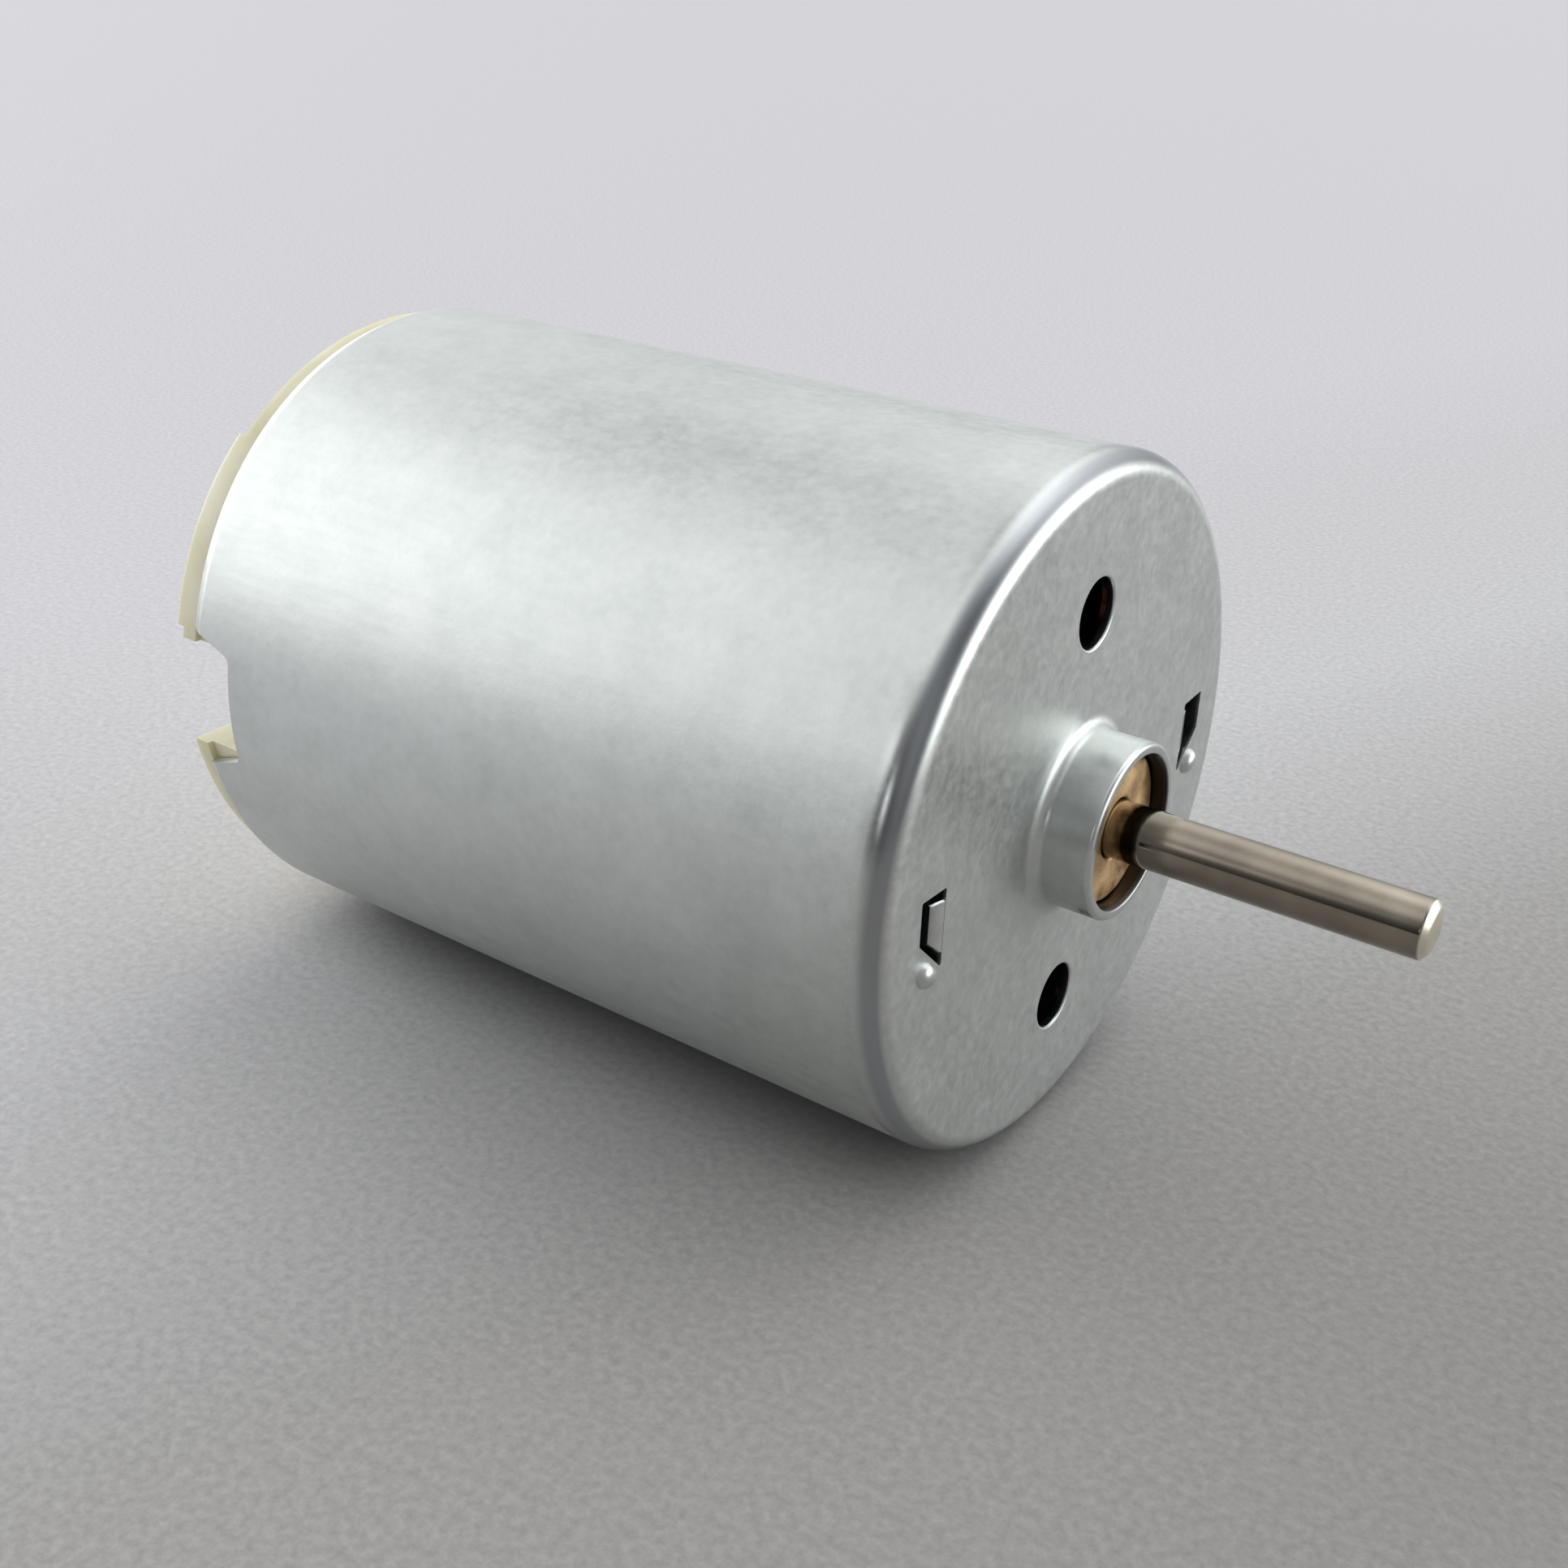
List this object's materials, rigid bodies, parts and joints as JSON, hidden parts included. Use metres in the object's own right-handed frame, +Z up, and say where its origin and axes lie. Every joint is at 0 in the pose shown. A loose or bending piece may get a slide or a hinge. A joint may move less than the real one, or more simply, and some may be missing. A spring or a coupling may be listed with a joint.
{
  "type": "electric motor",
  "caption": "Small round can DC motor: drawn steel can with a bearing boss, plain round shaft, plastic end bell with two blade terminals and a wound rotor inside.",
  "frame": {"origin": "centre of the bottom of the bounding box; the can lies on its side on z = 0, and the shaft axis is 12.2 mm above it", "axes": "+X along the shaft, out of the front face; +Z up; the front face is at x = 10.95 mm; screw holes above and below the shaft, slots and notches to the sides"},
  "size_m": [0.0466, 0.0244, 0.0244],
  "materials": {
    "zinc_steel": "matt zinc plated",
    "ground_steel": "ground",
    "oiled_bronze": "sintered, oiled",
    "cream_nylon": "moulded",
    "ferrite": "ground ferrite",
    "spring_steel": "rolled",
    "lamination_steel": "stamped",
    "red_fibre": "vulcanised fibre",
    "enamelled_copper": "enamelled",
    "phenolic": "moulded",
    "commutator_copper": "turned",
    "varistor_ceramic": "fired",
    "washer_plastic": "moulded",
    "tinned_brass": "stamped",
    "phosphor_bronze": "rolled",
    "copper_graphite": "pressed",
    "damping_rubber": "moulded"
  },
  "bodies": {
    "stator": {"housing_can": "zinc_steel", "end_bell": "cream_nylon", "front_bearing": "oiled_bronze", "rear_bearing": "oiled_bronze", "magnet_left": "ferrite", "magnet_right": "ferrite", "magnet_clip": "spring_steel", "terminal_top": "tinned_brass", "terminal_bottom": "tinned_brass"},
    "rotor": {"shaft": "ground_steel", "armature_core": "lamination_steel", "insulator_front": "red_fibre", "insulator_rear": "red_fibre", "coil_1": "enamelled_copper", "coil_2": "enamelled_copper", "coil_3": "enamelled_copper", "commutator_hub": "phenolic", "commutator_segment_1": "commutator_copper", "commutator_segment_2": "commutator_copper", "commutator_segment_3": "commutator_copper", "commutator_ring": "phenolic", "varistor_ring": "varistor_ceramic", "spacer_front": "washer_plastic", "thrust_washer_front": "washer_plastic", "thrust_washer_rear": "washer_plastic"},
    "brush_gear_left": {"brush_arm_left": "phosphor_bronze", "brush_left": "copper_graphite", "brush_damper_left": "damping_rubber"},
    "brush_gear_right": {"brush_arm_right": "phosphor_bronze", "brush_right": "copper_graphite", "brush_damper_right": "damping_rubber"}
  },
  "joints": [
    {"name": "rotor_spin", "type": "hinge", "parent": "stator", "child": "rotor", "pos_m": [0.01095, 0, 0.0122], "axis": [1, 0, 0], "continuous": true},
    {"name": "brush_arm_left_hinge", "type": "hinge", "parent": "stator", "child": "brush_gear_left", "pos_m": [-0.01485, -0.0041, 0.0199], "axis": [-1, 0, 0], "range_deg": [0, 8], "stiffness_Nm_per_rad": 0.012, "springref_deg": -10.03},
    {"name": "brush_arm_right_hinge", "type": "hinge", "parent": "stator", "child": "brush_gear_right", "pos_m": [-0.01485, 0.0041, 0.0045], "axis": [-1, 0, 0], "range_deg": [0, 8], "stiffness_Nm_per_rad": 0.012, "springref_deg": -10.03}
  ]
}
